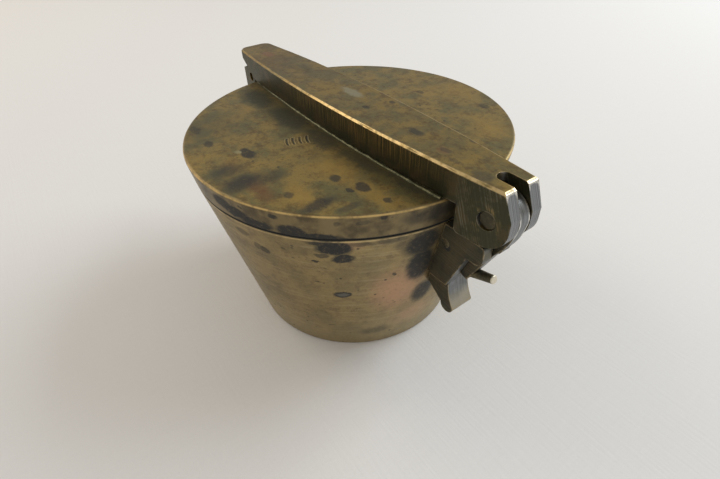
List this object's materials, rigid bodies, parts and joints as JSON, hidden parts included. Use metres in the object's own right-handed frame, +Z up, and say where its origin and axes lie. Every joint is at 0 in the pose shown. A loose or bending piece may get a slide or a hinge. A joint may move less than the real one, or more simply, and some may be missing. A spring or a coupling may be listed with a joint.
{
  "type": "nested cup weight",
  "caption": "Lidded set of nested brass cup weights: a tapering case cup with a hinged lid, a bar across it, a swinging hasp and smaller cups inside.",
  "frame": {"origin": "middle of the flat base of the case, where it stands", "axes": "+Z up, +X from the middle towards the hasp, -X towards the hinge, +Y across the bar"},
  "size_m": [0.0547, 0.042, 0.0306],
  "materials": {
    "case_brass": "turned brass with an old tan patina and dark stains",
    "lid_brass": "turned brass with an olive patina, dark spots and a rubbed rim",
    "bar_brass": "filed brass, darkened, with bright worn edges",
    "clasp_brass": "filed brass rubbed to a grey sheen on its outer faces",
    "pin_brass": "dark drawn brass with cut ends",
    "cup_brass": "turned brass, cleaner than the outside"
  },
  "bodies": {
    "root": {"case_cup": "case_brass", "hinge_bracket": "clasp_brass", "hinge_bracket_rivets": "pin_brass", "hinge_pin": "pin_brass", "catch_block": "clasp_brass", "catch_block_rivets": "pin_brass", "catch_cross_pin": "pin_brass"},
    "lid": {"lid_disc": "lid_brass", "lid_bar": "bar_brass", "bar_rivets": "pin_brass", "hasp_pivot_pin": "pin_brass"},
    "hasp": {"hasp": "clasp_brass", "hasp_pull_pin": "pin_brass"},
    "cup_1": {"nest_cup_1": "cup_brass"},
    "cup_2": {"nest_cup_2": "cup_brass"},
    "cup_3": {"nest_cup_3": "cup_brass"},
    "cup_4": {"nest_cup_4": "cup_brass"},
    "cup_5": {"nest_cup_5": "cup_brass"},
    "cup_6": {"nest_cup_6": "cup_brass"},
    "centre": {"centre_weight": "cup_brass"}
  },
  "joints": [
    {"name": "lid_hinge", "type": "hinge", "parent": "root", "child": "lid", "pos_m": [-0.0227, 0, 0.0272], "axis": [0, -1, 0], "range_deg": [0, 105]},
    {"name": "hasp_swing", "type": "hinge", "parent": "lid", "child": "hasp", "pos_m": [0.0255, 0, 0.0269], "axis": [0, -1, 0], "range_deg": [0, 150]},
    {"name": "cup_1_lift", "type": "slide", "parent": "root", "child": "cup_1", "axis": [0, 0, 1], "range_m": [0, 0.00025]},
    {"name": "cup_2_lift", "type": "slide", "parent": "cup_1", "child": "cup_2", "axis": [0, 0, 1], "range_m": [0, 0.00025]},
    {"name": "cup_3_lift", "type": "slide", "parent": "cup_2", "child": "cup_3", "axis": [0, 0, 1], "range_m": [0, 0.00025]},
    {"name": "cup_4_lift", "type": "slide", "parent": "cup_3", "child": "cup_4", "axis": [0, 0, 1], "range_m": [0, 0.00025]},
    {"name": "cup_5_lift", "type": "slide", "parent": "cup_4", "child": "cup_5", "axis": [0, 0, 1], "range_m": [0, 0.00025]},
    {"name": "cup_6_lift", "type": "slide", "parent": "cup_5", "child": "cup_6", "axis": [0, 0, 1], "range_m": [0, 0.00025]},
    {"name": "centre_lift", "type": "slide", "parent": "cup_6", "child": "centre", "axis": [0, 0, 1], "range_m": [0, 0.00025]}
  ]
}
